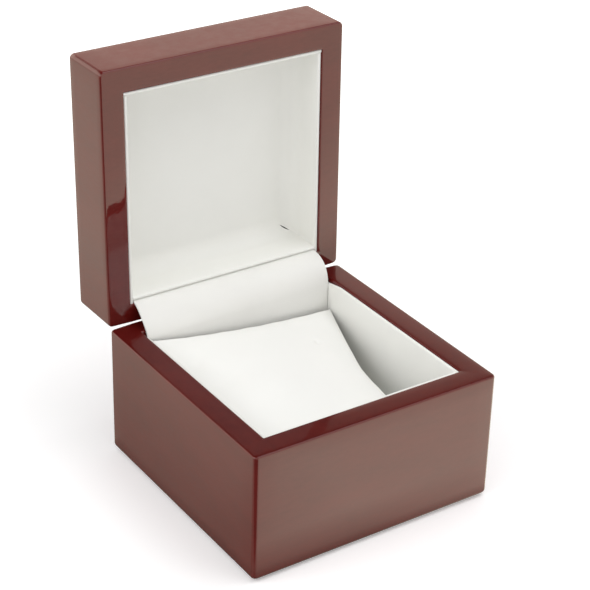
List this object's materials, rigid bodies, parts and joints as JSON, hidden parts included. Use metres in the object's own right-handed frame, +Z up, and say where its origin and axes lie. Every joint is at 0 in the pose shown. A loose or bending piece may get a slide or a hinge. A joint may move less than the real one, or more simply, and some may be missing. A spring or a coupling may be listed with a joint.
{
  "type": "watch display box",
  "caption": "Hinged lacquered wooden presentation box, shown open, with white leatherette linings, a hinge cover and a loose pillow for a watch.",
  "frame": {"origin": "centre of the box's underside, which rests on the table", "axes": "+X to the right, +Y to the hinges at the rear, +Z up; the lid stands open at rest"},
  "size_m": [0.102, 0.1254, 0.152],
  "materials": {
    "lacquer": "dark red polished clear lacquer over wood, no visible grain",
    "lining": "smooth matt white leatherette over card and thin padding",
    "cover": "smooth matt white leatherette sheet",
    "pillow": "soft matt white leatherette, sewn at the edges and filled",
    "felt": "short dark red felt",
    "hinge_brass": "plain pressed brass",
    "screw_steel": "zinc plated"
  },
  "bodies": {
    "base": {"base_front_board": "lacquer", "base_rear_board": "lacquer", "base_left_board": "lacquer", "base_right_board": "lacquer", "base_floor_panel": "lacquer", "base_felt": "felt", "base_lining_front": "lining", "base_lining_left": "lining", "base_lining_right": "lining", "base_lining_rear": "lining", "base_lining_floor": "lining", "hinge_left_base_leaf": "hinge_brass", "hinge_right_base_leaf": "hinge_brass", "hinge_left_pin": "hinge_brass", "hinge_right_pin": "hinge_brass", "hinge_base_screws": "screw_steel", "hinge_cover": "cover"},
    "lid": {"lid_front_board": "lacquer", "lid_rear_board": "lacquer", "lid_left_board": "lacquer", "lid_right_board": "lacquer", "lid_top_panel": "lacquer", "lid_lining_front": "lining", "lid_lining_left": "lining", "lid_lining_right": "lining", "lid_lining_rear": "lining", "lid_pad": "lining", "hinge_left_lid_leaf": "hinge_brass", "hinge_right_lid_leaf": "hinge_brass", "hinge_lid_screws": "screw_steel"},
    "pillow": {"pillow": "pillow"}
  },
  "joints": [
    {"name": "lid_hinge", "type": "hinge", "parent": "base", "child": "lid", "pos_m": [0, 0.0502, 0.05185], "axis": [1, 0, 0], "range_deg": [0, 91], "deforming": ["hinge_cover"]},
    {"name": "pillow_lift", "type": "slide", "parent": "base", "child": "pillow", "axis": [0, 0, 1], "range_m": [0, 0.15]}
  ]
}
